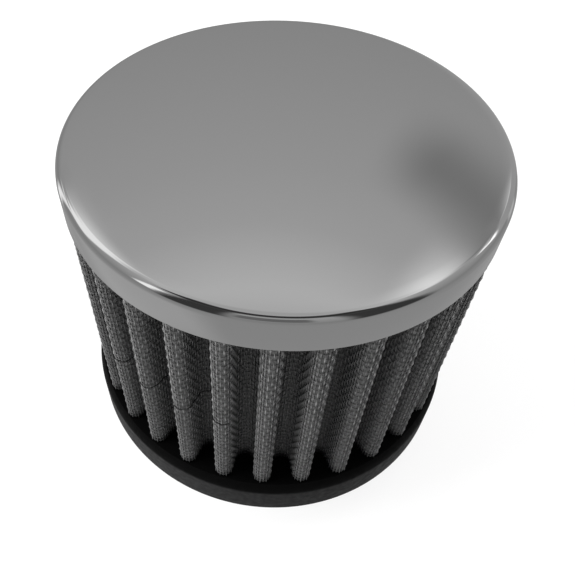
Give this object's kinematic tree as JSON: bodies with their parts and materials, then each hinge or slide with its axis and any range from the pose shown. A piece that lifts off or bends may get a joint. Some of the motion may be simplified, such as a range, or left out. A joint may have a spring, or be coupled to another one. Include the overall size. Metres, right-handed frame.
{
  "type": "crankcase breather filter",
  "caption": "Crankcase breather filter: a drawn chrome cap over a ring of pleated wire screen and cotton gauze, moulded into a rubber base with a clamp-on neck below.",
  "frame": {"origin": "centre of the neck's mouth, the lowest plane of the part", "axes": "+Z along the filter's axis, from the neck up to the cap; +X through the crest of one pleat"},
  "size_m": [0.0788, 0.0788, 0.0835],
  "materials": {
    "chrome": "bright chrome plate on drawn steel",
    "moulded_resin": "plain moulded urethane",
    "screen_wire": "plain-weave wire cloth, coated, dull bright",
    "gauze": "oiled cotton gauze, dark grey",
    "black_rubber": "moulded rubber, satin"
  },
  "bodies": {
    "root": {"chrome_cap": "chrome", "end_disc": "moulded_resin", "outer_screen": "screen_wire", "cotton_gauze": "gauze", "inner_screen": "screen_wire", "rubber_base": "black_rubber"}
  },
  "joints": []
}
